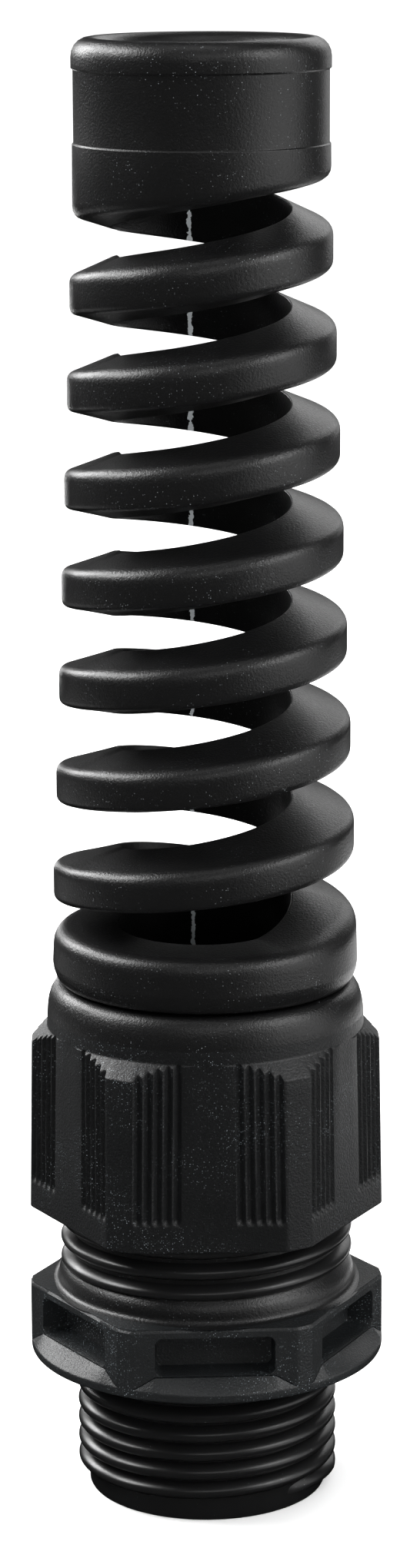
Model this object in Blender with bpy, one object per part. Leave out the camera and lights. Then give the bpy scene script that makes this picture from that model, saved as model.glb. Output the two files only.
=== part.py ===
"""Plastic cable gland with a spiral strain relief, standing on its thread end.

Lengths are in millimetres here and are scaled to metres when a mesh is made.
The origin is the centre of the thread's end face and +Z runs along the axis,
through the gland and up the spiral. Azimuth is measured from +X towards +Y.
"""
import math

import bmesh
import bpy
from mathutils import Matrix

MM = 0.001
GAP = 0.3
ROUND = 36

# Connection thread, M20 x 1.5, and the plain end below it.
THREAD_PITCH = 1.5
THREAD_CREST_R = 9.93
THREAD_ROOT_R = 9.08
BODY_BORE_R = 7.3

# Flange and the body's hexagon, 24 mm across flats.
FLANGE_R = 13.5
FLANGE_Z = 11.03
FLANGE_RIM_Z = 11.7
SLOPE_TOP_Z = 12.65
HEX_TOP_Z = 16.4
HEX_APOTHEM = 12.0
HEX_TURN = 3.0
POCKET_WIDTH = 8.9
POCKET_LOW_Z = 12.77
POCKET_HIGH_Z = 15.68
POCKET_DEPTH = 2.0

# Neck and the coarse thread that carries the cap nut.
NECK_R = 11.3
NECK_TOP_Z = 17.5
NUT_THREAD_PITCH = 1.65
NUT_THREAD_CREST_R = 11.05
NUT_THREAD_ROOT_R = 10.35
BODY_TOP_Z = 26.5
SEAT_R = 8.75
SEAT_Z = 19.3

# Clamping fingers, standing on the body's rim round the seal.
FINGERS = 12
FINGER_LOW_Z = BODY_TOP_Z + GAP
FINGER_TOP_Z = 31.9
FINGER_OUTER_R = 10.2
FINGER_HINGE_R = 9.475
FINGER_CLOSING = 1.434

# Cap nut.
NUT_Z = 22.4
NUT_RIM_Z = 36.75
NUT_LOW_APOTHEM = 12.15
NUT_HIGH_APOTHEM = 11.96
NUT_LOW_CORNER = 13.43
NUT_HIGH_CORNER = 13.13
NUT_TURN = 1.0
NUT_BORE_R = NUT_THREAD_CREST_R + GAP
RIBS_PER_GROUP = 5
RIB_SPACING = 0.75
RIB_GROOVE_R = 0.24
RIB_LOW_Z = 24.5

# Spiral: mean height of the bar after a number of turns from a point at the left.
CABLE_BORE_R = 6.5
SPIRAL_Z = 92.1
SPIRAL_PITCH = 7.08
SPIRAL_PITCH_CHANGE = -0.042
BAR_OUTER_R_AT_SPIRAL_Z = 9.69
BAR_TAPER = -0.0382
BAR_FACE_LOW = -1.35
BAR_FACE_HIGH = 0.85
BAR_SHOULDER = 0.4
BAR_OUTER_LOW = -1.62
BAR_OUTER_HIGH = 1.12
BAR_HALF_INNER = 2.45
JOINT_GAP = 0.38
FIRST_CUT = -6.25
TURNS = 7

# Collar at the spiral's foot and ring at its end.
COLLAR_Z = 40.4
COLLAR_TOP_Z = 44.45
COLLAR_R = 11.5
NECK_IN_NUT_R = 8.0
SNAP_RIM_R = 9.2
RING_R = 9.41
RING_TOP_Z = 110.4

POLYAMIDE = ("black_polyamide", (0.018, 0.018, 0.02, 1.0), 0.42)
POLYAMIDE_SOFT = ("black_polyamide_spiral", (0.014, 0.014, 0.016, 1.0), 0.38)
RUBBER = ("black_neoprene", (0.01, 0.01, 0.01, 1.0), 0.75)


def material(spec):
    name, colour, roughness = spec
    found = bpy.data.materials.get(name)
    if found:
        return found
    made = bpy.data.materials.new(name)
    made.use_nodes = True
    shader = made.node_tree.nodes["Principled BSDF"]
    shader.inputs["Base Color"].default_value = colour
    shader.inputs["Roughness"].default_value = roughness
    shader.inputs["Metallic"].default_value = 0.0
    return made


def solid(name, points, faces, spec, smooth_angle=35.0):
    """A closed mesh object from points in millimetres, its faces turned outwards."""
    mesh = bpy.data.meshes.new(name)
    mesh.from_pydata([(x * MM, y * MM, z * MM) for x, y, z in points], [], faces)
    work = bmesh.new()
    work.from_mesh(mesh)
    bmesh.ops.recalc_face_normals(work, faces=work.faces)
    work.to_mesh(mesh)
    work.free()
    mesh.shade_smooth()
    mesh.set_sharp_from_angle(angle=math.radians(smooth_angle))
    mesh.materials.append(material(spec))
    made = bpy.data.objects.new(name, mesh)
    bpy.context.collection.objects.link(made)
    return made


def helper(obj):
    obj.hide_render = True
    obj.display_type = "WIRE"
    return obj


def combine(target, other, operation):
    """Adds an exact Boolean to the target and puts the other object among the helpers."""
    change = target.modifiers.new(other.name, "BOOLEAN")
    change.operation = operation
    change.solver = "EXACT"
    change.object = helper(other)
    return target


def polar(radius, azimuth, z):
    return (radius * math.cos(azimuth), radius * math.sin(azimuth), z)


def loft(name, rings, spec, closed_profile=False, closed_round=True):
    """Joins equal rings of points by quads; open ends are closed by flat caps."""
    count = len(rings[0])
    points = [point for ring in rings for point in ring]
    faces = []
    steps = len(rings) if closed_profile else len(rings) - 1
    for i in range(steps):
        low = i * count
        high = ((i + 1) % len(rings)) * count
        for j in range(count if closed_round else count - 1):
            k = (j + 1) % count
            faces.append((low + j, low + k, high + k, high + j))
    if not closed_profile:
        faces.append(tuple(range(count)))
        faces.append(tuple(range(len(points) - count, len(points))))
    return solid(name, points, faces, spec)


def turned(name, profile, spec, through=False, segments=ROUND):
    """A turned solid: a closed section when it has a bore, else a stack of discs."""
    rings = []
    for radius, z in profile:
        ring = [polar(radius, 2 * math.pi * j / segments, z) for j in range(segments)]
        rings.append(ring)
    return loft(name, rings, spec, closed_profile=through)


def prism(name, outline, low, high, spec):
    rings = [[(x, y, low) for x, y in outline], [(x, y, high) for x, y in outline]]
    return loft(name, rings, spec)


def thread_ridge(name, root, crest, pitch, z_at_zero, first, last, half_root, half_crest):
    """The ridge of a right-handed thread between two angles in degrees, fading at its ends."""
    rings = []
    steps = int(round((last - first) / 20.0))
    for i in range(steps + 1):
        angle = first + (last - first) * i / steps
        fade = min(1.0, (angle - first) / 60.0, (last - angle) / 60.0)
        radius = root - 0.1 + (crest - root + 0.1) * max(0.0, fade)
        z = z_at_zero + pitch * angle / 360.0
        section = [(root - 0.15, -half_root), (radius, -half_crest),
                   (radius, half_crest), (root - 0.15, half_root)]
        turn = math.radians(angle)
        rings.append([polar(r, turn, z + dz) for r, dz in section])
    return loft(name, rings, POLYAMIDE)


def hexagon(apothem, turn):
    side = apothem / math.cos(math.pi / 6)
    corners = [math.radians(turn + 60 * k) for k in range(6)]
    return [(side * math.cos(a), side * math.sin(a)) for a in corners]


def make_gland_body():
    """Threaded shank, flange, hexagon with a pocket in each face, neck and nut thread."""
    body = turned("gland_body", [
        (THREAD_ROOT_R - 0.25, 0.0), (THREAD_ROOT_R, 0.3), (THREAD_ROOT_R, FLANGE_Z - 0.58),
        (THREAD_ROOT_R + 1.17, FLANGE_Z + 0.12), (THREAD_ROOT_R, FLANGE_Z + 1.3),
        (THREAD_ROOT_R, BODY_TOP_Z - 0.6)], POLYAMIDE)
    ridge = thread_ridge("add_connection_thread", THREAD_ROOT_R, THREAD_CREST_R,
                         THREAD_PITCH, 1.335, -45.0, 2215.0, 0.63, 0.12)
    combine(body, ridge, "UNION")
    disc = turned("add_flange", [
        (FLANGE_R - 0.2, FLANGE_Z), (FLANGE_R, FLANGE_Z + 0.2), (FLANGE_R, FLANGE_RIM_Z),
        (HEX_APOTHEM, SLOPE_TOP_Z), (HEX_APOTHEM - 1.0, SLOPE_TOP_Z + 0.2)], POLYAMIDE,
        segments=48)
    combine(body, disc, "UNION")
    hexed = prism("add_hexagon", hexagon(HEX_APOTHEM, HEX_TURN), 11.4, HEX_TOP_Z, POLYAMIDE)
    trim = turned("trim_hexagon", [
        (FLANGE_R - 0.25, 11.0), (FLANGE_R - 0.25, FLANGE_RIM_Z),
        (FLANGE_R - 0.01, FLANGE_RIM_Z + 0.2), (FLANGE_R - 0.01, HEX_TOP_Z - 0.25),
        (FLANGE_R - 0.5, HEX_TOP_Z + 0.3)], POLYAMIDE, segments=48)
    combine(hexed, trim, "INTERSECT")
    combine(body, hexed, "UNION")
    neck = turned("add_neck", [
        (NECK_R + 0.15, HEX_TOP_Z - 0.4), (NECK_R, HEX_TOP_Z + 0.35), (NECK_R, NECK_TOP_Z),
        (NUT_THREAD_ROOT_R, NECK_TOP_Z + 0.5), (NUT_THREAD_ROOT_R, BODY_TOP_Z - 0.4),
        (NUT_THREAD_ROOT_R - 0.4, BODY_TOP_Z)], POLYAMIDE)
    combine(body, neck, "UNION")
    coarse = thread_ridge("add_nut_thread", NUT_THREAD_ROOT_R, NUT_THREAD_CREST_R,
                          NUT_THREAD_PITCH, 17.41, 100.0, 1732.0, 0.74, 0.22)
    combine(body, coarse, "UNION")
    bore = turned("cut_bore", [
        (BODY_BORE_R, -1.0), (BODY_BORE_R, SEAT_Z - 0.8), (SEAT_R, SEAT_Z),
        (SEAT_R, BODY_TOP_Z + 1.0)], POLYAMIDE)
    combine(body, bore, "DIFFERENCE")
    for k in range(6):
        cut_pocket(body, k)
    return body


def cut_pocket(body, index):
    """One blind slot with rounded corners in a face of the body's hexagon."""
    half = POCKET_WIDTH / 2
    high = (POCKET_HIGH_Z - POCKET_LOW_Z) / 2
    middle = (POCKET_HIGH_Z + POCKET_LOW_Z) / 2
    corner = 0.7
    outline = []
    for cx, cz, start in ((1, 1, 0), (-1, 1, 90), (-1, -1, 180), (1, -1, 270)):
        for step in range(3):
            angle = math.radians(start + 45 * step)
            outline.append((cx * (half - corner) + corner * math.cos(angle),
                            cz * (high - corner) + corner * math.sin(angle)))
    azimuth = math.radians(HEX_TURN + 30 + 60 * index)
    across = (-math.sin(azimuth), math.cos(azimuth))
    rings = []
    for depth in (HEX_APOTHEM - POCKET_DEPTH, HEX_APOTHEM + 1.5):
        rings.append([(depth * math.cos(azimuth) + s * across[0],
                       depth * math.sin(azimuth) + s * across[1],
                       middle + z) for s, z in outline])
    combine(body, loft("cut_pocket_%d" % index, rings, POLYAMIDE), "DIFFERENCE")


def make_grommet():
    return turned("sealing_grommet", [
        (CABLE_BORE_R + 0.6, SEAT_Z + GAP), (SEAT_R - GAP, SEAT_Z + GAP + 0.5),
        (SEAT_R - GAP, 31.0), (SEAT_R - GAP - 0.5, 31.5), (CABLE_BORE_R + 0.4, 31.5),
        (CABLE_BORE_R, 31.1), (CABLE_BORE_R, SEAT_Z + GAP + 0.6)], RUBBER, through=True,
        segments=24)


def make_finger(index):
    """A clamping finger whose origin is on its living hinge, at the rim of the body."""
    turn = 2 * math.pi * (index + 0.5) / FINGERS
    slope = math.tan(math.pi / FINGERS)
    outline = []
    for radius in (SEAT_R, FINGER_OUTER_R):
        half = (radius - FINGER_CLOSING) * slope
        x = radius if radius == SEAT_R else math.sqrt(radius * radius - half * half)
        outline.append((x, half))
    inner, outer = outline
    plan = [(inner[0], -inner[1]), (outer[0], -outer[1]), (FINGER_OUTER_R, 0.0),
            (outer[0], outer[1]), (inner[0], inner[1])]
    plan = [(x - FINGER_HINGE_R, y) for x, y in plan]
    tip = [(x - (0.25 if x > 0 else 0.0), y) for x, y in plan]
    height = FINGER_TOP_Z - FINGER_LOW_Z
    rings = [[(x, y, 0.0) for x, y in plan], [(x, y, height - 0.4) for x, y in plan],
             [(x, y, height) for x, y in tip]]
    finger = loft("clamp_finger_%02d" % (index + 1), rings, POLYAMIDE)
    hinge = polar(FINGER_HINGE_R, turn, FINGER_LOW_Z)
    finger.location = [value * MM for value in hinge]
    finger.rotation_euler = (0.0, 0.0, turn)
    return finger


def nut_ring(apothem, corner, z):
    """A hexagon with a flat cut across each corner, as twelve points at one height."""
    half = (apothem / math.cos(math.pi / 6) - corner) * math.sqrt(3)
    ring = []
    for k in range(6):
        angle = math.radians(NUT_TURN + 60 * k)
        for side in (-1, 1):
            ring.append((corner * math.cos(angle) - side * half * math.sin(angle),
                         corner * math.sin(angle) + side * half * math.cos(angle), z))
    return ring


def make_cap_nut():
    """Hexagonal nut with drafted faces, grip grooves and a round shoulder above them."""
    nut = loft("cap_nut", [
        nut_ring(NUT_LOW_APOTHEM, NUT_LOW_CORNER, NUT_Z),
        nut_ring(NUT_HIGH_APOTHEM, NUT_HIGH_CORNER, NUT_RIM_Z - 0.1),
        nut_ring(13.0, 14.0, NUT_RIM_Z + 0.05),
        nut_ring(13.0, 14.0, 41.0)], POLYAMIDE)
    shoulder = turned("trim_shoulder", [
        (14.5, NUT_Z - 1.0), (14.5, 34.25), (11.95, NUT_RIM_Z + 0.05), (11.93, 37.4),
        (11.9, 37.9), (11.81, 38.5), (11.6, 39.3), (11.4, 39.75), (11.1, 40.0),
        (10.7, 40.1)], POLYAMIDE, segments=48)
    combine(nut, shoulder, "INTERSECT")
    grooves = grip_grooves()
    combine(nut, grooves, "DIFFERENCE")
    inside = turned("cut_nut_bore", [
        (NUT_BORE_R + 0.4, NUT_Z - 1.0), (NUT_BORE_R + 0.4, NUT_Z), (NUT_BORE_R, NUT_Z + 0.5),
        (NUT_BORE_R, 30.6), (10.5, 31.9), (9.2, 36.3), (9.5, 36.6), (9.5, 38.4),
        (NECK_IN_NUT_R + GAP, 38.4), (NECK_IN_NUT_R + GAP, 41.0)], POLYAMIDE)
    combine(nut, inside, "DIFFERENCE")
    return nut


def grip_grooves():
    """Upright round-bottomed grooves in two groups on each face of the nut."""
    points = []
    faces = []
    sides = 4
    middle = 4.15
    for k in range(6):
        azimuth = math.radians(NUT_TURN + 30 + 60 * k)
        for group in (-1, 1):
            for i in range(RIBS_PER_GROUP - 1):
                across = group * middle + (i - (RIBS_PER_GROUP - 2) / 2) * RIB_SPACING
                base = len(points)
                for z in (RIB_LOW_Z, NUT_RIM_Z - 0.6):
                    share = (z - NUT_Z) / (NUT_RIM_Z - NUT_Z)
                    depth = NUT_LOW_APOTHEM + (NUT_HIGH_APOTHEM - NUT_LOW_APOTHEM) * share
                    for s in range(sides):
                        angle = 2 * math.pi * (s + 0.5) / sides
                        out = depth + RIB_GROOVE_R * math.cos(angle)
                        off = across + RIB_GROOVE_R * math.sin(angle)
                        points.append((out * math.cos(azimuth) - off * math.sin(azimuth),
                                       out * math.sin(azimuth) + off * math.cos(azimuth), z))
                for s in range(sides):
                    n = (s + 1) % sides
                    faces.append((base + s, base + n, base + sides + n, base + sides + s))
                faces.append(tuple(base + s for s in range(sides)))
                faces.append(tuple(base + sides + s for s in range(sides)))
    return solid("cut_grip_grooves", points, faces, POLYAMIDE)


def spiral_height(turns):
    """Mean height of the bar, counted in turns from azimuth 180 degrees of the top coil."""
    return SPIRAL_Z + SPIRAL_PITCH * turns + SPIRAL_PITCH_CHANGE * turns * turns


def bar_outer_radius(z):
    return min(11.4, BAR_OUTER_R_AT_SPIRAL_Z + BAR_TAPER * (z - SPIRAL_Z))


def bar_section(turns, floor=-1.0, roof=1000.0, outer=None):
    """The bar's section: a flat outer face, rounded shoulders and a taller inner edge."""
    z = spiral_height(turns)
    radius = outer if outer else bar_outer_radius(z)
    section = [(radius, BAR_FACE_LOW), (radius, BAR_FACE_HIGH),
               (radius - BAR_SHOULDER, BAR_OUTER_HIGH), (CABLE_BORE_R, BAR_HALF_INNER),
               (CABLE_BORE_R, -BAR_HALF_INNER), (radius - BAR_SHOULDER, BAR_OUTER_LOW)]
    return [(r, min(roof, max(floor, z + dz))) for r, dz in section]


def bar_ring(turns, section, cut=0.0):
    """The section placed at its azimuth, or on the flat x = cut at the back of the spiral."""
    azimuth = 2 * math.pi * (turns + 0.5)
    ring = []
    for radius, z in section:
        angle = azimuth if not cut else math.pi / 2 - math.asin(cut / radius)
        ring.append(polar(radius, angle, z))
    return ring


def bar_stretch(name, first, last, steps, cut_first, cut_last, limit=bar_section):
    """A stretch of the spiral, its ends flat and upright where it meets the next stretch."""
    rings = []
    for i in range(steps + 1):
        turns = first + (last - first) * i / steps
        cut = 0.0
        if i == 0 and cut_first:
            cut = -JOINT_GAP / 2
        if i == steps and cut_last:
            cut = JOINT_GAP / 2
        rings.append(bar_ring(turns, limit(turns), cut))
    return loft(name, rings, POLYAMIDE_SOFT)


def make_spiral_turn(index):
    first = FIRST_CUT + index
    name = "spiral_turn_%02d" % (index + 1)
    limit = first_turn_section if index == 0 else bar_section
    turn = bar_stretch(name, first, first + 1, 36, True, True, limit)
    hinge = spiral_height(first) * MM
    turn.data.transform(Matrix.Translation((0.0, 0.0, -hinge)))
    turn.location = (0.0, 0.0, hinge)
    return turn


def first_turn_section(turns):
    """The lowest coil is cut back underneath, so that it clears the collar as it bends."""
    rise = 1.3 * min(1.0, (turns - FIRST_CUT) / 0.3)
    return bar_section(turns, floor=COLLAR_TOP_Z + 0.33 + rise)


def collar_section(turns):
    return bar_section(turns, floor=41.0)


def make_collar():
    """Round collar under the spiral, with the rim that snaps into the nut's opening."""
    collar = turned("spiral_collar", [
        (CABLE_BORE_R, 36.9), (SNAP_RIM_R - 0.5, 36.9), (SNAP_RIM_R, 37.4),
        (SNAP_RIM_R, 38.1), (NECK_IN_NUT_R, 38.1), (NECK_IN_NUT_R, COLLAR_Z), (10.9, COLLAR_Z),
        (11.2, 40.65), (11.42, 41.2), (COLLAR_R, 41.9), (COLLAR_R, 42.8),
        (11.25, 43.6), (10.9, 44.1), (10.4, COLLAR_TOP_Z), (CABLE_BORE_R, COLLAR_TOP_Z)], POLYAMIDE_SOFT, through=True)
    foot = bar_stretch("add_spiral_foot", -6.95, FIRST_CUT, 24, False, True, collar_section)
    return combine(collar, foot, "UNION")


def ring_section(turns):
    """The bar grows into the ring: its lower edge goes on rising while its top joins the ring."""
    if turns < 0.84:
        return bar_section(turns)
    share = min(1.0, (turns - 0.84) / 0.16)
    low = spiral_height(min(turns, 1.0)) + 4.8 * max(0.0, turns - 1.0)
    radius = bar_outer_radius(spiral_height(min(turns, 1.0)))
    section = bar_section(min(turns, 1.0))
    top = 102.0
    face = low + BAR_FACE_LOW
    return [(radius, min(face, top - 0.4)), (radius, top - 0.2), (radius - BAR_SHOULDER, top),
            (CABLE_BORE_R + 0.05, top),
            (CABLE_BORE_R + 0.05, min(top - 0.4, low - BAR_HALF_INNER + 0.6 * share)),
            (section[5][0], min(low + BAR_OUTER_LOW, top - 0.6))]


def make_end_ring():
    """Smooth end ring with a rounded lip; the last coil runs up into its lower edge."""
    ring = turned("spiral_end_ring", [
        (CABLE_BORE_R, 101.2), (RING_R - 0.4, 101.2), (RING_R, 101.6), (RING_R, 102.75),
        (9.26, 102.9), (9.26, 108.1), (RING_R, 108.2), (RING_R, 109.2), (9.2, 109.8),
        (8.8, 110.2), (8.26, RING_TOP_Z), (7.6, 110.25), (7.0, 109.8), (6.65, 109.2),
        (CABLE_BORE_R, 108.4)], POLYAMIDE_SOFT, through=True)
    tail = bar_stretch("add_last_coil", FIRST_CUT + TURNS, FIRST_CUT + TURNS + 1, 36,
                       True, False, ring_section)
    combine(ring, tail, "UNION")
    return ring


def main():
    for obj in list(bpy.data.objects):
        bpy.data.objects.remove(obj, do_unlink=True)
    make_gland_body()
    make_grommet()
    for index in range(FINGERS):
        make_finger(index)
    make_cap_nut()
    make_collar()
    for index in range(TURNS):
        make_spiral_turn(index)
    make_end_ring()


main()
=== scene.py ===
import math

import bpy
import numpy as np
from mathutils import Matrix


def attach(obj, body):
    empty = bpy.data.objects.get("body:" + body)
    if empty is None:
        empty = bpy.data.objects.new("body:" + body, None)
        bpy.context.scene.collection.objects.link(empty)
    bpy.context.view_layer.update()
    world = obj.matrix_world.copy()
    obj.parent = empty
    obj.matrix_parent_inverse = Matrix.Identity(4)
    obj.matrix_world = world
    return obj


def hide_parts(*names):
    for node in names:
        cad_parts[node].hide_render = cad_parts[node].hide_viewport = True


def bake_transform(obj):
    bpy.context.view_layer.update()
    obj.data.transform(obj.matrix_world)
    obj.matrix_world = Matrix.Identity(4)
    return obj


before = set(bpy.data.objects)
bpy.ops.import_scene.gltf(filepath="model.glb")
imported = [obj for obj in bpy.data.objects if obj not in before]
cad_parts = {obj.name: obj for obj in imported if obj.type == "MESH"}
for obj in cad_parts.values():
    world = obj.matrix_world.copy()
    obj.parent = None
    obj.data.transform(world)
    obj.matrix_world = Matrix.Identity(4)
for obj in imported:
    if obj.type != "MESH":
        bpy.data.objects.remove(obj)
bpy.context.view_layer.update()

# ---------------------------------------------------------------- camera and table
# The gland stands on a plain white table. The camera is 0.3 m in front of it, a little
# above the spiral's end, and looks down by 13 degrees.
view_down = math.radians(12.93)
camera_data = bpy.data.cameras.new("table_camera")
camera_data.sensor_width = 36.0
camera_data.lens = 94.69
camera = bpy.data.objects.new("table_camera", camera_data)
camera.location = (0.00005, -0.3013, 0.12436)
camera.rotation_mode = "ZYX"
camera.rotation_euler = (math.pi / 2 - view_down, 0.0, math.radians(-0.25))
bpy.context.collection.objects.link(camera)
bpy.context.scene.camera = camera


def srgb(code):
    """A hex colour turned to the linear values that a shader wants."""
    values = np.array([int(code[i:i + 2], 16) for i in (1, 3, 5)]) / 255.0
    linear = np.where(values <= 0.04045, values / 12.92, ((values + 0.055) / 1.055) ** 2.4)
    return (*linear.tolist(), 1.0)


table_paint = bpy.data.materials.new("white_table_paint")
table_paint.use_nodes = True
table_shader = table_paint.node_tree.nodes["Principled BSDF"]
table_shader.inputs["Base Color"].default_value = srgb("#FDFDFD")
table_shader.inputs["Roughness"].default_value = 0.9
table_shader.inputs["Specular IOR Level"].default_value = 0.0

# The table is one flat sheet, wide enough to fill the view behind the gland.
table_mesh = bpy.data.meshes.new("table_sheet")
table_reach = 5.0
table_corners = [(x * table_reach, y * table_reach, 0.0)
                 for x, y in ((-1, -1), (1, -1), (1, 1), (-1, 1))]
table_mesh.from_pydata(table_corners, [], [(0, 1, 2, 3)])
table_mesh.materials.append(table_paint)
table_sheet = bpy.data.objects.new("table_sheet", table_mesh)
bpy.context.collection.objects.link(table_sheet)
table_sheet.visible_glossy = False

# The room lights the table evenly and leaves the black plastic dark: only the soft
# panels round it, like the cards and lamps of a product table, show in its gloss.
bpy.context.scene.view_settings.view_transform = "Standard"
world = bpy.data.worlds.new("studio_room")
bpy.context.scene.world = world
world.use_nodes = True
world.node_tree.nodes["Background"].inputs["Color"].default_value = (1.0, 1.0, 1.0, 1.0)
world.node_tree.nodes["Background"].inputs["Strength"].default_value = 1.2
world.cycles_visibility.glossy = False


def soft_panel(name, place, size, brightness):
    """A rectangular light panel that faces the middle of the gland. Its watts follow from
    the brightness that its reflection has: brightness x pi x area."""
    gland_middle = np.array([0.0, 0.0, 0.06])
    data = bpy.data.lights.new(name, "AREA")
    data.shape = "RECTANGLE"
    data.size, data.size_y = size
    data.energy = brightness * math.pi * size[0] * size[1]
    made = bpy.data.objects.new(name, data)
    made.location = place
    facing = gland_middle - np.array(place)
    facing = facing / np.linalg.norm(facing)
    made.rotation_euler = (math.acos(-facing[2]), 0.0,
                           math.atan2(facing[1], facing[0]) - math.pi / 2)
    made.visible_camera = False
    bpy.context.collection.objects.link(made)
    return made


soft_panel("key_panel_left", (-0.37, 0.04, 0.39), (0.24, 0.20), 13.0)
soft_panel("wide_panel_right", (0.44, -0.12, 0.10), (0.40, 0.34), 1.3)
soft_panel("high_panel_right", (0.37, -0.16, 0.37), (0.28, 0.22), 5.0)
soft_panel("card_above", (0.0, -0.05, 0.6), (0.3, 0.3), 1.0)
soft_panel("back_card_high", (0.15, 0.42, 0.30), (0.28, 0.18), 2.2)
soft_panel("front_card_high", (0.04, -0.42, 0.36), (0.34, 0.14), 1.6)
soft_panel("front_card_right", (0.28, -0.30, 0.05), (0.12, 0.12), 0.9)
soft_panel("back_card_left", (-0.31, 0.31, 0.27), (0.18, 0.22), 13.0)
soft_panel("back_panel_right", (0.22, 0.42, 0.14), (0.16, 0.20), 1.2)
soft_panel("back_panel_left", (-0.095, 0.33, 0.03), (0.05, 0.06), 5.0)
# The lit table shows in the gloss of the lower half, beside and behind the gland.
for name, place, size, brightness in (
        ("table_glow_right", (0.25, 0.13, 0.0005), (0.24, 0.24), 0.6),
        ("table_glow_behind", (0.075, 0.11, 0.0005), (0.10, 0.12), 1.8),
        ("table_glow_left", (-0.145, 0.08, 0.0005), (0.10, 0.18), 0.5)):
    glow = soft_panel(name, place, size, brightness)
    glow.rotation_euler = (math.pi, 0.0, 0.0)

# ---------------------------------------------------------------- moulded polyamide
# Every hard piece is injection-moulded black polyamide. The mould was spark-eroded
# where fingers grip, which leaves a fine frosted grain, and polished on the threads.
MM = 0.001


def node(tree, kind, settings=(), inputs=(), **links):
    """Adds a node: its settings, its fixed inputs, and the sockets that feed it."""
    made = tree.nodes.new(kind)
    for name, value in dict(settings).items():
        setattr(made, name, value)
    for name, value in dict(inputs).items():
        made.inputs[name].default_value = value
    for name, socket in links.items():
        tree.links.new(socket, made.inputs[int(name[1:]) if name[1:].isdigit() else name])
    return made


def reckoned(tree, operation, first, second):
    """The value of a math node that works on a socket and on a second socket or number."""
    made = node(tree, "ShaderNodeMath", settings={"operation": operation}, i0=first)
    if isinstance(second, float):
        made.inputs[1].default_value = second
    else:
        tree.links.new(second, made.inputs[1])
    return made.outputs["Value"]


def moulded_plastic(name, colour, roughness, grain_mm, grain_depth, painted_glint_share, painted_glint):
    """A black moulding: two shades in soft clouds, a grain of that size and depth in mm,
    and painted glints: pale dots painted into the colour as highlights, on that share of a
    0.13 mm mesh, thicker in patches. Returns the material and the node that holds its colour."""
    made = bpy.data.materials.new(name)
    made.use_nodes = True
    tree = made.node_tree
    shader = tree.nodes["Principled BSDF"]
    shader.inputs["IOR"].default_value = 1.53
    place = node(tree, "ShaderNodeTexCoord").outputs["Object"]
    grain = node(tree, "ShaderNodeTexNoise", inputs={
        "Scale": 1.0 / (grain_mm * MM), "Detail": 2.0, "Roughness": 0.6}, Vector=place)
    cloud = node(tree, "ShaderNodeTexNoise", inputs={
        "Scale": 1.0 / (5.0 * MM), "Detail": 3.0, "Roughness": 0.6}, Vector=place)
    patch = node(tree, "ShaderNodeMapRange", inputs={
        "From Min": 0.44, "From Max": 0.62, "To Min": 0.08, "To Max": 1.0},
        Value=cloud.outputs["Fac"])
    cells = node(tree, "ShaderNodeTexVoronoi", inputs={
        "Scale": 1.0 / (0.13 * MM)}, Vector=place)
    chosen = node(tree, "ShaderNodeMapRange", inputs={
        "From Min": 1.0 - painted_glint_share, "From Max": 1.0, "To Min": 0.0, "To Max": 1.0},
        Value=node(tree, "ShaderNodeSeparateColor", i0=cells.outputs["Color"]).outputs["Red"])
    dot = node(tree, "ShaderNodeMapRange", inputs={
        "From Min": 0.12, "From Max": 0.34, "To Min": 1.0, "To Max": 0.0},
        Value=cells.outputs["Distance"])
    share = reckoned(tree, "MULTIPLY", chosen.outputs["Result"], dot.outputs["Result"])
    share = reckoned(tree, "MULTIPLY", share, patch.outputs["Result"])
    base = node(tree, "ShaderNodeMix", settings={"data_type": "RGBA"},
                Factor=cloud.outputs["Fac"])
    base.inputs[6].default_value = srgb(colour[0])
    base.inputs[7].default_value = srgb(colour[1])
    # Painted glints: pale dots mixed into the base colour stand in for the sparkle of highlights
    # on the grain.
    glint_painted_colour = node(tree, "ShaderNodeMix", settings={"data_type": "RGBA"},
                    Factor=share, i6=base.outputs[2])
    glint_painted_colour.inputs[7].default_value = srgb(painted_glint)
    tree.links.new(glint_painted_colour.outputs[2], shader.inputs["Base Color"])
    gloss = node(tree, "ShaderNodeMapRange", inputs={
        "From Min": 0.3, "From Max": 0.7, "To Min": roughness * 0.9,
        "To Max": roughness * 1.12}, Value=grain.outputs["Fac"])
    tree.links.new(gloss.outputs["Result"], shader.inputs["Roughness"])
    shine = node(tree, "ShaderNodeMapRange", inputs={
        "From Min": 0.0, "From Max": 0.5, "To Min": 0.5, "To Max": 1.0}, Value=share)
    tree.links.new(shine.outputs["Result"], shader.inputs["Specular IOR Level"])
    fine = node(tree, "ShaderNodeBump", inputs={
        "Strength": 1.0, "Distance": grain_depth * MM}, Height=grain.outputs["Fac"])
    tree.links.new(fine.outputs["Normal"], shader.inputs["Normal"])
    return made, glint_painted_colour


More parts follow.
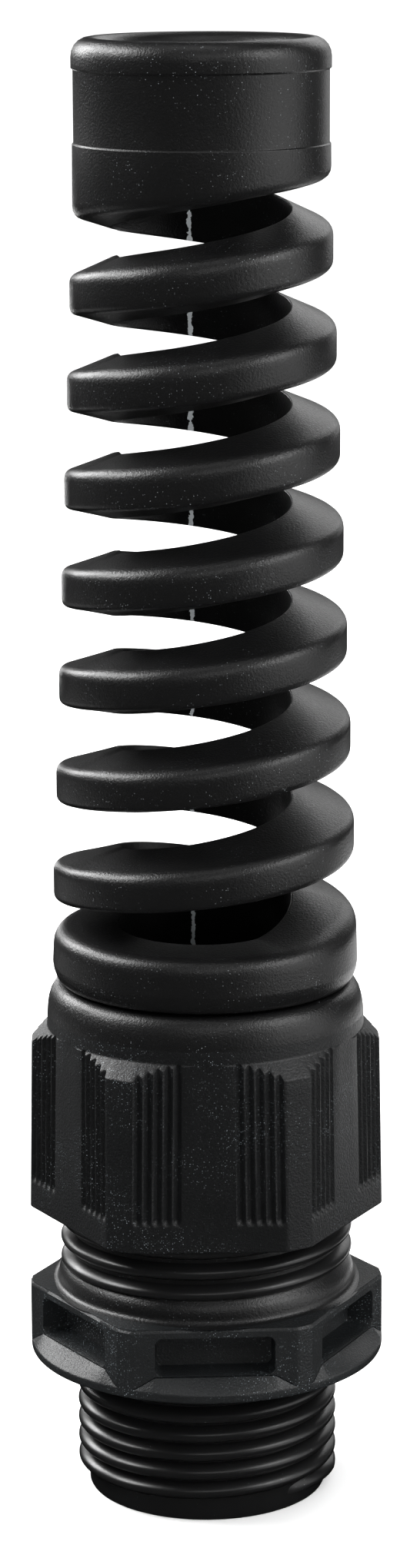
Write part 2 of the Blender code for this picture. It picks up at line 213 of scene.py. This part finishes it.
def add_painted_joint_highlight(finish):
    """Paints a highlight on the mould's joint line: a pale line 0.3 mm wide up the back of the
    spiral's bore, where the joint catches the light. Where |x + 0.92 mm| is small, y is positive
    and the radius is under 6.65 mm, the colour turns pale, with an edge that a fine noise breaks
    up.
    It reads the place that each point was moulded at, so the painted line keeps to the bore when
    the spiral bends."""
    made, glint_painted_colour = finish
    tree = made.node_tree
    place = node(tree, "ShaderNodeAttribute", settings={
        "attribute_name": "moulded_place"}).outputs["Vector"]
    split = node(tree, "ShaderNodeSeparateXYZ", Vector=place)
    around = node(tree, "ShaderNodeCombineXYZ", X=split.outputs["X"], Y=split.outputs["Y"])
    radius = node(tree, "ShaderNodeVectorMath", settings={"operation": "LENGTH"},
                  i0=around.outputs["Vector"])
    ragged = node(tree, "ShaderNodeTexNoise", inputs={
        "Scale": 1.0 / (0.35 * MM), "Detail": 3.0}, Vector=place)
    offset = reckoned(tree, "ADD", split.outputs["X"], 0.92 * MM)
    away = reckoned(tree, "ABSOLUTE", offset, 0.0)
    wide = node(tree, "ShaderNodeMapRange", inputs={
        "From Min": 0.35, "From Max": 0.65, "To Min": 0.05 * MM, "To Max": 0.24 * MM},
        Value=ragged.outputs["Fac"])
    inside = reckoned(tree, "LESS_THAN", away, wide.outputs["Result"])
    bore = reckoned(tree, "LESS_THAN", radius.outputs["Value"], 6.65 * MM)
    back = reckoned(tree, "GREATER_THAN", split.outputs["Y"], 0.0)
    line = reckoned(tree, "MULTIPLY", reckoned(tree, "MULTIPLY", inside, bore), back)
    painted_joint_highlight = node(tree, "ShaderNodeMix", settings={"data_type": "RGBA"},
                Factor=line, i6=glint_painted_colour.outputs[2])
    painted_joint_highlight.inputs[7].default_value = srgb("#C9CFD2")
    tree.links.new(painted_joint_highlight.outputs[2], tree.nodes["Principled BSDF"].inputs["Base Color"])
    return made


# The hexagon and the cap nut take two copies of one frosted finish with the same grain: the
# hexagon's copy has the lighter base, the nut's the darker one.
frosted, _ = moulded_plastic(
    "spark_eroded_black_polyamide", ("#101213", "#181B1D"), roughness=0.46,
    grain_mm=0.17, grain_depth=0.04, painted_glint_share=0.5, painted_glint="#7F8B91")
nut_finish, _ = moulded_plastic(
    "darker_frosted_black_polyamide", ("#08090A", "#0F1113"), roughness=0.47,
    grain_mm=0.17, grain_depth=0.04, painted_glint_share=0.45, painted_glint="#6F7A80")
polished, _ = moulded_plastic(
    "mould_polished_black_polyamide", ("#0D0D0D", "#121213"), roughness=0.33,
    grain_mm=0.3, grain_depth=0.001, painted_glint_share=0.02, painted_glint="#5A6062")
# The satin finish also carries the painted highlight on the joint line up the back of the bore.
satin = add_painted_joint_highlight(moulded_plastic(
    "satin_black_polyamide", ("#0A0A0A", "#0F0F10"), roughness=0.37,
    grain_mm=0.17, grain_depth=0.03, painted_glint_share=0.14, painted_glint="#73797C"))

# ---------------------------------------------------------------- gland body
# One moulding: connection thread, flange, hexagon with a slot in each face, neck and
# the thread for the cap nut. It is drawn as closed shells that ride together.


def rounded(section, steps=5):
    """Rows of a closed section: each corner (r, z, fillet) gives way to a parabola that
    leaves and meets the sides `fillet` away from it; a fillet of 0 keeps the corner."""
    width = max(np.size(value) for corner in section for value in corner[:2])
    points = np.array([[np.broadcast_to(r, width), np.broadcast_to(z, width)]
                       for r, z, _ in section], float).transpose(0, 2, 1)
    before = np.roll(points, 1, axis=0) - points
    after = np.roll(points, -1, axis=0) - points
    length_before = np.linalg.norm(before, axis=-1, keepdims=True) + 1e-9
    length_after = np.linalg.norm(after, axis=-1, keepdims=True) + 1e-9
    rows = []
    for k, (_, _, fillet) in enumerate(section):
        if not np.any(fillet):
            rows.append(points[k][None])
            continue
        shorter = np.minimum(length_before[k], length_after[k])
        reach = np.minimum(np.reshape(fillet, (-1, 1)), 0.49 * shorter)
        start = points[k] + before[k] / length_before[k] * reach
        end = points[k] + after[k] / length_after[k] * reach
        u = np.linspace(0.0, 1.0, steps)[:, None, None]
        rows.append((1 - u) ** 2 * start + 2 * u * (1 - u) * points[k] + u ** 2 * end)
    return np.concatenate(rows)


def ring_surface(name, radius, height, azimuth, material, body, sharp=40.0):
    """A section carried round the axis: row i, column j lies at radius[i, j], height
    [i, j] (mm) and azimuth[j] (radians). Both directions close on themselves."""
    radius, height, azimuth = np.broadcast_arrays(radius, height, azimuth)
    points = np.stack([radius * np.cos(azimuth), radius * np.sin(azimuth), height], axis=-1)
    rows, columns = radius.shape
    i = np.arange(rows)[:, None]
    j = np.arange(columns)[None]
    quads = np.stack([i * columns + j, i * columns + (j + 1) % columns,
                      (i + 1) % rows * columns + (j + 1) % columns,
                      (i + 1) % rows * columns + j], axis=-1).reshape(-1, 4)
    return shell(name, points.reshape(-1, 3) * MM, quads.tolist(), material, body, sharp)


def shell(name, points, faces, material, body, sharp):
    """Puts points (m) and faces into a mesh object that rides on a body. Each point also
    keeps where it was moulded, for patterns that must not slide when the piece bends."""
    mesh = bpy.data.meshes.new(name)
    mesh.from_pydata(points.tolist(), [], faces)
    mesh.shade_smooth()
    mesh.set_sharp_from_angle(angle=math.radians(sharp))
    mesh.materials.append(material)
    moulded_place = mesh.attributes.new("moulded_place", "FLOAT_VECTOR", "POINT")
    moulded_place.data.foreach_set("vector", np.asarray(points, np.float32).ravel())
    made = bpy.data.objects.new(name, mesh)
    bpy.context.collection.objects.link(made)
    if body:
        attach(made, body)
    return made


def carried(name, radius, height, azimuth, material, body):
    """A closed section carried along a spiral path: row i of the section at station j is
    at radius[i, j], height[i, j] (mm) and azimuth[j]. A flat cap closes each end."""
    count, stations = radius.shape
    points = np.stack([radius * np.cos(azimuth), radius * np.sin(azimuth), height], axis=-1)
    i = np.arange(stations - 1)[:, None]
    j = np.arange(count)[None]
    quads = np.stack([(i + 1) * count + j, (i + 1) * count + (j + 1) % count,
                      i * count + (j + 1) % count, i * count + j], axis=-1).reshape(-1, 4)
    caps = [list(range(count)), list(range((stations - 1) * count, stations * count))[::-1]]
    return shell(name, points.transpose(1, 0, 2).reshape(-1, 3) * MM, quads.tolist() + caps,
                 material, body, sharp=50.0)


def thread(name, first, pitch, turns, half, root, crest, power, floor):
    """A right-handed thread's ridge: 1 - |u| ^ power across its width, its middle `first`
    high at azimuth 0 and one pitch higher each turn. It grows out of the root over 40
    degrees at each end, and is cut flat at the floor."""
    steps_a_turn, run_out, buried, foot_depth = 96, 0.7, 0.06, 0.5
    azimuth = 2 * math.pi * np.linspace(*turns, int(steps_a_turn * (turns[1] - turns[0])) + 1)
    grown = (np.clip((azimuth - azimuth[0]) / run_out, 0, 1)
             * np.clip((azimuth[-1] - azimuth) / run_out, 0, 1))
    u = np.linspace(-1.0, 1.0, 19)
    ridge = (1 - np.abs(u) ** power)[:, None] * grown[None]
    radius = root - buried + (crest - root + buried) * ridge
    radius = np.concatenate([radius, np.full((1, azimuth.size), root - foot_depth)])
    height = first + pitch * azimuth[None] / (2 * math.pi) + np.append(u, 0.0)[:, None] * half
    return carried(name, radius, np.maximum(height, floor), azimuth, polished, "gland")


turn = np.linspace(0.0, 2 * math.pi, 160, endpoint=False)
shank = rounded([(7.3, 0.0, 0.15), (9.1, 0.0, 0.22), (9.1, 11.25, 0.0), (7.3, 11.25, 0.0)])
shank = ring_surface("threaded_shank", shank[:, :, 0], shank[:, :, 1], turn, polished,
                     "gland")
# Six turns of M20 x 1.5, which start on a flat shoulder above the plain end.
connection_thread = thread("connection_thread", first=1.335, pitch=1.5, turns=(-0.14, 6.35),
                           half=0.73, root=9.1, crest=9.95, power=2.2, floor=1.03)

# Flange and hexagon, 24 mm across flats: each face runs out over a short slope onto the
# flange, and its corners stop at the flange's own radius.
flat, rim = 12.0, 13.5
near_edge = np.linspace(3.72, 4.78, 19)
half_face = np.concatenate([np.linspace(0.3, 3.5, 8), near_edge, np.linspace(4.95, 6.185, 7)])
face_x = np.concatenate([-half_face[::-1], half_face])
face_turn = np.arctan(face_x / flat)
corner_turn = np.linspace(face_turn[-1], math.pi / 3 - face_turn[-1], 6)[1:-1]
sector = np.concatenate([face_turn, corner_turn])
middle = math.radians(33.0) + np.arange(6) * math.pi / 3
hex_turn = (middle[:, None] + sector[None]).ravel()
local = np.tile(sector, 6)
local = np.where(local > math.pi / 6, local - math.pi / 3, local)
side = np.minimum(flat / np.cos(local), rim)
across_face = side * np.sin(local)
slope_top = 12.67 - 0.93 * np.clip((np.abs(across_face) - 4.5) / 1.6, 0.0, 1.0)
share = np.concatenate([np.arange(0.0, 0.75, 0.05), np.linspace(0.85, 2.2, 5),
                        np.arange(2.4, 3.45, 0.055)]) / 3.45
face_rows = slope_top[None] + 0.04 + (16.12 - slope_top[None]) * share[:, None]
# The slot: a pocket 8.9 x 2.9 mm with round corners, sunk 2 mm into the face. `outside`
# is the distance from its edge, and it is negative within the slot.
slot_half_width, slot_half_height, slot_round, slot_middle = 4.45, 1.455, 0.6, 14.225
from_x = np.abs(across_face)[None] - (slot_half_width - slot_round)
from_z = np.abs(face_rows - slot_middle) - (slot_half_height - slot_round)
outside = (np.hypot(np.maximum(from_x, 0), np.maximum(from_z, 0))
           + np.minimum(np.maximum(from_x, from_z), 0) - slot_round)
sunk = np.clip((0.04 - outside) / 0.16, 0.0, 1.0)
sunk = 2.0 * sunk * sunk * (3 - 2 * sunk) + 0.25 * np.clip(-outside / 1.4, 0.0, 1.0)
along_normal = np.where(side[None] < rim - 1e-6, flat - sunk,
                        (side * np.cos(local))[None])
wall_radius = np.hypot(along_normal, across_face[None])
wall_turn = hex_turn[None] + np.arctan2(across_face[None], along_normal) - local[None]
under = rounded([(8.6, 11.03, 0.0), (rim, 11.03, 0.28), (rim, 11.72, 0.12),
                 (side, slope_top, 0.1)])
over = rounded([(side, 16.4, 0.22), (10.9, 16.48, 0.0), (8.6, 16.48, 0.0)])
hexagon_radius = np.concatenate([under[:, :, 0], wall_radius, over[:, :, 0]])
hexagon_height = np.concatenate([under[:, :, 1], face_rows, over[:, :, 1]])
hexagon_turn = np.concatenate([np.repeat(hex_turn[None], len(under), 0), wall_turn,
                               np.repeat(hex_turn[None], len(over), 0)])
flange_hexagon = ring_surface("flange_hexagon", hexagon_radius, hexagon_height, hexagon_turn,
                              frosted, "gland")

# Neck with the two turns of coarse thread that the raised nut leaves in view.
neck = rounded([(10.1, 26.5, 0.3), (8.75, 26.5, 0.1), (8.75, 19.3, 0.0), (7.3, 18.5, 0.0),
                (7.3, 16.4, 0.0), (12.1, 16.36, 0.0), (11.35, 16.55, 0.75), (11.25, 17.5, 0.7),
                (10.35, 18.6, 0.4), (10.35, 25.9, 0.2)])
neck = ring_surface("neck", neck[:, :, 0], neck[:, :, 1], turn, satin, "gland")
nut_thread = thread("nut_thread", first=17.41, pitch=1.65, turns=(0.17, 4.9), half=0.70,
                    root=10.35, crest=11.15, power=2.0, floor=0.0)
# The bore between the two threads is one plain sleeve inside the hexagon.
sleeve = rounded([(7.3, 11.2, 0.0), (8.8, 11.2, 0.0), (8.8, 16.45, 0.0), (7.3, 16.45, 0.0)])
bore_sleeve = ring_surface("bore_sleeve", sleeve[:, :, 0], sleeve[:, :, 1],
                           np.linspace(0, 2 * math.pi, 96, endpoint=False), polished,
                           "gland")
for piece in (shank, connection_thread, flange_hexagon, neck, nut_thread, bore_sleeve):
    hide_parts("gland_body")

# ---------------------------------------------------------------- seal and fingers
# The neoprene sleeve and the twelve nylon fingers round it sit inside the nut. Their
# solids have the right shape, so they keep it and take a material each.
neoprene, _ = moulded_plastic(
    "moulded_black_neoprene", ("#101010", "#171717"), roughness=0.62,
    grain_mm=0.3, grain_depth=0.01, painted_glint_share=0.02, painted_glint="#3A3A3A")
for name, finish in [("sealing_grommet", neoprene)] + [
        ("clamp_finger_%02d" % (k + 1), polished) for k in range(12)]:
    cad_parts[name].data.materials.clear()
    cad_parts[name].data.materials.append(finish)

# ---------------------------------------------------------------- cap nut
# Moulded with a slight draft, 24 mm across flats, its corners cut flat. Beside each
# corner five upright grooves give grip; a cone trims the top up to a round shoulder.
nut_foot, nut_corner_top = 22.4, 36.75
nut_rows = np.concatenate([np.linspace(22.5, 24.3, 6), np.linspace(24.4, 25.0, 8),
                           np.linspace(25.4, 35.2, 16)])


def nut_plan(height, groove_share):
    """Plan of the nut at each height: six faces with grooves, flats across the corners
    and a small round between them. Returns radius and azimuth [row, column]."""
    share = (height[:, None] - nut_foot) / (nut_corner_top - nut_foot)
    apothem = 12.14 - 0.2 * share
    corner = 13.43 - 0.27 * share
    half = (apothem / math.cos(math.pi / 6) - corner) * math.sqrt(3.0)
    edge = apothem * math.tan(math.pi / 6) - half / math.cos(math.pi / 6)
    soft, grooves, groove_pitch, groove_depth = 0.22, 5, 0.74, 0.3
    u = np.concatenate([-np.linspace(1.0, 0.36, 46), np.linspace(-0.3, 0.3, 5),
                        np.linspace(0.36, 1.0, 46)])
    y = u[None] * (edge - soft)
    from_edge = edge - np.abs(y)
    phase = (from_edge - 0.1) / groove_pitch
    depth = np.where((phase > 0) & (phase < grooves),
                     0.5 - 0.5 * np.cos(2 * math.pi * phase), 0.0)
    x = apothem - groove_depth * depth ** 0.8 * groove_share[:, None]
    t = np.linspace(0.0, 1.0, 5)[None, 1:]
    round_x = ((1 - t) ** 2 * apothem + 2 * t * (1 - t) * apothem
               + t ** 2 * (apothem - 0.5 * soft))
    round_y = ((1 - t) ** 2 * (edge - soft) + 2 * t * (1 - t) * edge
               + t ** 2 * (edge + 0.866 * soft))
    plan_x = np.concatenate([round_x[:, ::-1], x, round_x], axis=1)
    plan_y = np.concatenate([-round_y[:, ::-1], y, round_y], axis=1)
    face = math.radians(31.0) + np.arange(6) * math.pi / 3
    radius = np.tile(np.hypot(plan_x, plan_y), (1, 6))
    local_turn = np.arctan2(plan_y, plan_x)
    azimuth = (face[None, :, None] + local_turn[:, None, :]).reshape(len(height), -1)
    return radius, azimuth


grooved = np.clip((nut_rows - 24.35) / 0.6, 0.0, 1.0)
grooved = grooved * grooved * (3 - 2 * grooved)
nut_radius, nut_turn = nut_plan(nut_rows, grooved)
crown_radius, crown_turn = nut_plan(np.array([35.6]), np.array([1.0]))
crown_edge = 36.8 - (crown_radius - 11.95)
columns = nut_radius.shape[1]
crown = rounded([(crown_radius[0], 35.25, 0.0), (crown_radius[0], crown_edge[0], 0.1),
                 (11.99, 36.78, 0.12), (11.99, 37.8, 0.0), (11.95, 38.25, 0.0),
                 (11.87, 38.75, 0.0), (11.7, 39.3, 0.0), (11.45, 39.75, 0.0), (11.1, 40.07, 0.0),
                 (10.75, 40.16, 0.0), (8.3, 40.1, 0.1), (8.3, 38.4, 0.0), (9.5, 38.4, 0.0),
                 (9.5, 36.6, 0.0), (9.2, 36.3, 0.0), (10.5, 31.9, 0.0)])
skirt_radius, skirt_turn = nut_plan(np.array([nut_foot]), np.array([0.0]))
skirt = rounded([(11.3, 30.4, 0.0), (11.3, 22.9, 0.0), (11.8, nut_foot, 0.0),
                 (skirt_radius[0], nut_foot, 0.12)])
cap_nut_radius = np.concatenate([nut_radius, crown[:, :, 0], skirt[:, :, 0]])
cap_nut_height = np.concatenate([np.repeat(nut_rows[:, None], columns, 1), crown[:, :, 1],
                                 skirt[:, :, 1]])
cap_nut_turn = np.concatenate([nut_turn, np.repeat(crown_turn, len(crown), 0),
                               np.repeat(skirt_turn, len(skirt), 0)])
cap_nut = ring_surface("grip_cap_nut", cap_nut_radius, cap_nut_height, cap_nut_turn,
                       nut_finish, "nut", sharp=30.0)
# The round shoulder is smoother than the frosted faces below it.
cap_nut.data.materials.append(satin)
shoulder = np.repeat(cap_nut_height.mean(axis=1) > 36.9, columns)
cap_nut.data.polygons.foreach_set("material_index", shoulder.astype(np.int32))
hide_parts("cap_nut")

# ---------------------------------------------------------------- spiral
# Collar, seven open coils and end ring are one soft moulding. The bar has an upright
# outer face and sloping top and bottom, so it is thicker towards the 13 mm bore.
spiral_bore = 6.5
bar_above, bar_below, bar_inner_half = 1.14, 1.62, 2.5


def coil_height(turns):
    """Mean height in mm after a number of turns from the left side of the top coil."""
    return 92.1 + 7.08 * turns - 0.042 * turns ** 2


def coil_radius(height):
    """Outer radius in mm: the spiral tapers evenly towards its end."""
    return np.minimum(11.42, 9.69 - 0.0382 * (height - 92.1))


def bar_corners(turns):
    """Section of the bar: r and height of its corners, and the round on each. Just past
    the left side, where the two halves of the mould met, the bore's rim steps down."""
    z = coil_height(turns)
    r = coil_radius(z)
    past_left = turns - np.floor(turns)
    step_down = (0.2 * np.clip((past_left - 0.06) / 0.008, 0.0, 1.0)
                 * np.clip((0.5 - past_left) / 0.3, 0.0, 1.0))
    top_round = 0.6 + 0.5 * np.maximum(np.sin(2 * np.pi * turns), 0.0) ** 2
    return [(spiral_bore, z - bar_inner_half, 0.3), (r, z - bar_below, 0.5),
            (r, z + bar_above, top_round),
            (spiral_bore, z + bar_inner_half - step_down, 0.15)]


def bar_piece(name, first, last, body):
    """The bar from one number of turns to another, closed by a flat cap at each end. A
    very short first and last step keeps the shading true where pieces meet."""
    steps = int(round((last - first) * 150))
    turns = np.concatenate([[first, first + 0.0008], np.linspace(first, last, steps + 1)[1:-1],
                            [last - 0.0008, last]])
    rows = rounded(bar_corners(turns), steps=6)
    return carried(name, rows[:, :, 0], rows[:, :, 1], 2 * math.pi * (turns + 0.5), satin,
                   body)


# Each coil starts at the back. The right halves of the first six coils ride on their
# coils' bodies; the left halves and the last coil's right half are attached to no body.
bodies = ["spiral_base"] + ["coil_%02d" % (k + 1) for k in range(7)] + ["end_ring"]
for k in range(7):
    first = -6.25 + k
    node_name = "spiral_turn_%02d" % (k + 1)
    left_half = bar_piece("coil_%02d_left" % (k + 1), first, first + 0.5, None)
    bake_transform(left_half)
    if k < 6:
        right_half = bar_piece("coil_%02d_right" % (k + 1), first + 0.5, first + 1.0,
                               bodies[k + 1])
    else:
        right_half = bar_piece("coil_%02d_right" % (k + 1), first + 0.5, first + 1.0, None)
        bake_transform(right_half)
    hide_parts(node_name)
    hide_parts(node_name)

# The collar carries the foot of the spiral, which climbs out of its flat top.
collar_top, collar_r = 44.4, 11.36
climb = np.linspace(-7.25, -6.2505, 260)
climb_z = coil_height(climb)
soft_step = np.sqrt((climb_z + bar_above - collar_top) ** 2 + 0.15)
top_outer = 0.5 * (climb_z + bar_above + collar_top + soft_step)
climbed = np.clip(climb_z - 43.1, 0.06, 1.36)
tread = np.clip((top_outer - collar_top) / 1.2, 0.0, 1.0)
step_r = collar_r + (coil_radius(climb_z) - collar_r) * tread
collar_rows = rounded([
    (spiral_bore, 36.9, 0.0), (8.7, 36.9, 0.0), (9.2, 37.4, 0.0), (9.2, 38.1, 0.0),
    (8.0, 38.1, 0.0), (8.0, 40.4, 0.0), (10.6, 40.3, 0.0), (11.0, 40.42, 0.0),
    (11.27, 40.77, 0.0), (11.43, 41.25, 0.0), (11.5, 41.7, 0.1),
    (step_r, top_outer, 2.0 - 0.9 * tread),
    (spiral_bore, top_outer + climbed, 0.15)], steps=8)
spiral_collar = ring_surface("round_spiral_collar", collar_rows[:, :, 0], collar_rows[:, :, 1],
                             2 * math.pi * (climb + 0.5), satin, "spiral_base",
                             sharp=50.0)
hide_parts("spiral_collar")

# The ring's lower edge is the last coil's underside, which climbs and then levels out.
ring_turns = np.linspace(0.885, 1.8845, 300)
past = np.maximum(ring_turns - 1.0, 0.0)
level = np.clip((past - 0.1) / 0.75, 0.0, 1.0)
level_out = past - 0.75 * (level ** 3 - level ** 4 / 2) - np.maximum(past - 0.85, 0.0)
edge_z = coil_height(np.minimum(ring_turns, 1.0)) - bar_below + 7.0 * level_out
close = np.clip((ring_turns - 1.83) / 0.055, 0.0, 1.0)
edge_z = edge_z - 1.6 * close ** 2
inner_z = edge_z - 0.85 + 0.55 * np.clip(past / 0.5, 0.0, 1.0)
band_r = 9.40 + 0.05 * np.clip(1.2 - ring_turns, 0.0, 1.0)
ring_rows = rounded([
    (spiral_bore, inner_z, 0.3), (band_r, edge_z, 0.75), (9.38, 102.78, 0.04),
    (9.28, 102.86, 0.03), (9.28, 108.1, 0.03), (9.42, 108.2, 0.05), (9.42, 109.0, 0.0),
    (9.36, 109.42, 0.0), (9.18, 109.82, 0.0), (8.88, 110.14, 0.0), (8.5, 110.34, 0.0),
    (8.15, 110.4, 0.0), (7.7, 110.34, 0.0), (7.25, 110.12, 0.0), (6.9, 109.8, 0.0),
    (6.66, 109.35, 0.0), (6.53, 108.8, 0.0), (spiral_bore, 108.2, 0.0)])
end_ring = ring_surface("smooth_end_ring", ring_rows[:, :, 0], ring_rows[:, :, 1],
                        2 * math.pi * (ring_turns + 0.5), satin, "end_ring",
                        sharp=50.0)
last_coil = bar_piece("coil_into_ring", 0.75, 0.93, "end_ring")
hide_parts("spiral_end_ring")
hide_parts("spiral_end_ring")
